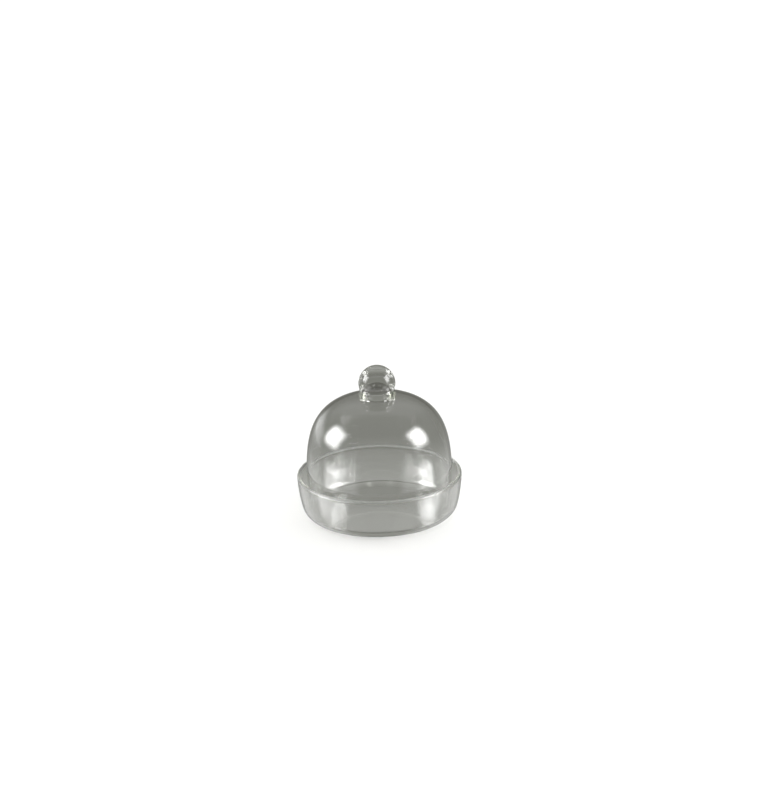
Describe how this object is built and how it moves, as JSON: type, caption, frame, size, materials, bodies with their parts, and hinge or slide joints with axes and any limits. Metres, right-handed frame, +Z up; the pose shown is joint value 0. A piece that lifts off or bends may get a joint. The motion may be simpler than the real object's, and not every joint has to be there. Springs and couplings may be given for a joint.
{
  "type": "glass bell jar",
  "caption": "Clear glass bell with a ball knob on a rounded collar, standing in a deep round glass dish; the bell lifts off to cover and show a small object.",
  "frame": {"origin": "centre of the dish's foot ring, on the surface that it stands on", "axes": "+Z up along the axis that every piece is turned about; X and Y are alike"},
  "size_m": [0.12, 0.12, 0.1133],
  "materials": {
    "blown_glass": "clear, fire-polished",
    "solid_glass": "clear, fire-polished"
  },
  "bodies": {
    "base": {"dish": "blown_glass"},
    "cover": {"bell": "blown_glass", "knob_collar": "solid_glass", "ball_knob": "solid_glass"}
  },
  "joints": [
    {"name": "bell_lift", "type": "slide", "parent": "base", "child": "cover", "axis": [0, 0, 1], "range_m": [0, 0.1]}
  ]
}
